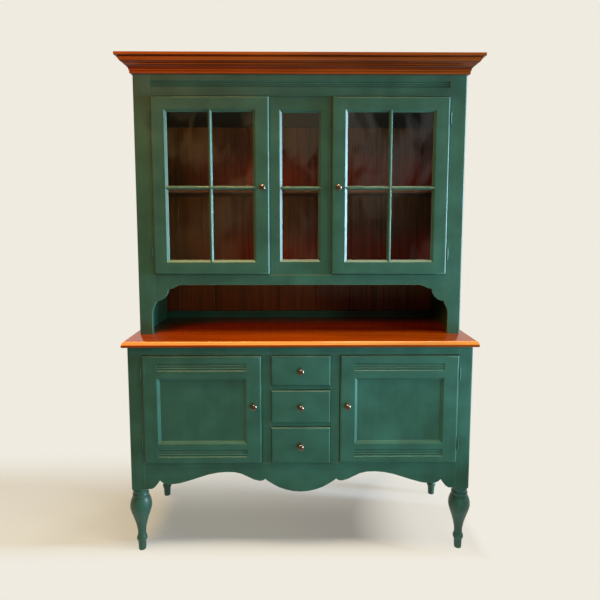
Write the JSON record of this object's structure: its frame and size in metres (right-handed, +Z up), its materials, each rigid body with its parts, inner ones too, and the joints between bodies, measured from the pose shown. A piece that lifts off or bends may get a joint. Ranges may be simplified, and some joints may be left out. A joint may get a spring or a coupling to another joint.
{
  "type": "step back cupboard",
  "caption": "Step back cupboard on turned legs: glazed upper case over an open niche and counter, with drawers between panelled doors below, in green paint with stained top and cornice.",
  "frame": {"origin": "on the floor, under the middle of the bounding box", "axes": "+Z up; the front with the doors faces -Y; +X is to the right as seen from the front"},
  "size_m": [1.481, 0.547, 2.07],
  "materials": {
    "green_paint": "satin green paint, a little worn at the edges",
    "brown_stain": "dark brown stain",
    "counter_stain": "glossy orange brown stain",
    "cornice_stain": "satin red brown stain",
    "bare_wood": "bare pale wood",
    "dark_paint": "dark paint",
    "glass": "clear, a little wavy",
    "pewter": "soft pewter",
    "hinge_paint": "satin green paint over metal"
  },
  "bodies": {
    "carcass": {"leg_front_left": "green_paint", "leg_front_right": "green_paint", "leg_back_left": "green_paint", "leg_back_right": "green_paint", "base_left_stile": "green_paint", "base_right_stile": "green_paint", "base_left_side": "green_paint", "base_right_side": "green_paint", "base_bottom": "bare_wood", "base_back": "bare_wood", "base_top_rail": "green_paint", "base_apron": "green_paint", "drawer_bay_left_divider": "green_paint", "drawer_bay_right_divider": "green_paint", "drawer_rail_upper": "green_paint", "drawer_rail_lower": "green_paint", "counter_top": "counter_stain", "upper_left_side": "green_paint", "upper_right_side": "green_paint", "upper_left_stile": "green_paint", "upper_right_stile": "green_paint", "frieze_rail": "green_paint", "scalloped_rail": "green_paint", "upper_ceiling": "dark_paint", "upper_shelf": "brown_stain", "upper_floor": "brown_stain", "niche_back_rail": "green_paint", "upper_back_boards": "brown_stain", "middle_light_frame": "green_paint", "middle_light_glass": "glass", "cornice": "cornice_stain"},
    "upper_left_door": {"upper_left_door_sash": "green_paint", "upper_left_door_glass": "glass", "upper_left_door_knob": "pewter", "upper_left_door_hinge_lower": "hinge_paint", "upper_left_door_hinge_upper": "hinge_paint"},
    "upper_right_door": {"upper_right_door_sash": "green_paint", "upper_right_door_glass": "glass", "upper_right_door_knob": "pewter", "upper_right_door_hinge_lower": "hinge_paint", "upper_right_door_hinge_upper": "hinge_paint"},
    "lower_left_door": {"lower_left_door_frame": "green_paint", "lower_left_door_panel": "green_paint", "lower_left_door_knob": "pewter", "lower_left_door_hinge_lower": "hinge_paint", "lower_left_door_hinge_upper": "hinge_paint"},
    "lower_right_door": {"lower_right_door_frame": "green_paint", "lower_right_door_panel": "green_paint", "lower_right_door_knob": "pewter", "lower_right_door_hinge_lower": "hinge_paint", "lower_right_door_hinge_upper": "hinge_paint"},
    "top_drawer": {"top_drawer_front": "green_paint", "top_drawer_box": "bare_wood", "top_drawer_knob": "pewter"},
    "middle_drawer": {"middle_drawer_front": "green_paint", "middle_drawer_box": "bare_wood", "middle_drawer_knob": "pewter"},
    "bottom_drawer": {"bottom_drawer_front": "green_paint", "bottom_drawer_box": "bare_wood", "bottom_drawer_knob": "pewter"}
  },
  "joints": [
    {"name": "upper_left_door_hinge", "type": "hinge", "parent": "carcass", "child": "upper_left_door", "pos_m": [-0.6203, -0.1208, 1.544], "axis": [0, 0, -1], "range_deg": [0, 110]},
    {"name": "upper_right_door_hinge", "type": "hinge", "parent": "carcass", "child": "upper_right_door", "pos_m": [0.6203, -0.1208, 1.544], "axis": [0, 0, 1], "range_deg": [0, 110]},
    {"name": "lower_left_door_hinge", "type": "hinge", "parent": "carcass", "child": "lower_left_door", "pos_m": [-0.6488, -0.2408, 0.6345], "axis": [0, 0, -1], "range_deg": [0, 110]},
    {"name": "lower_right_door_hinge", "type": "hinge", "parent": "carcass", "child": "lower_right_door", "pos_m": [0.6488, -0.2408, 0.6345], "axis": [0, 0, 1], "range_deg": [0, 110]},
    {"name": "top_drawer_slide", "type": "slide", "parent": "carcass", "child": "top_drawer", "axis": [0, -1, 0], "range_m": [0, 0.33]},
    {"name": "middle_drawer_slide", "type": "slide", "parent": "carcass", "child": "middle_drawer", "axis": [0, -1, 0], "range_m": [0, 0.33]},
    {"name": "bottom_drawer_slide", "type": "slide", "parent": "carcass", "child": "bottom_drawer", "axis": [0, -1, 0], "range_m": [0, 0.33]}
  ]
}
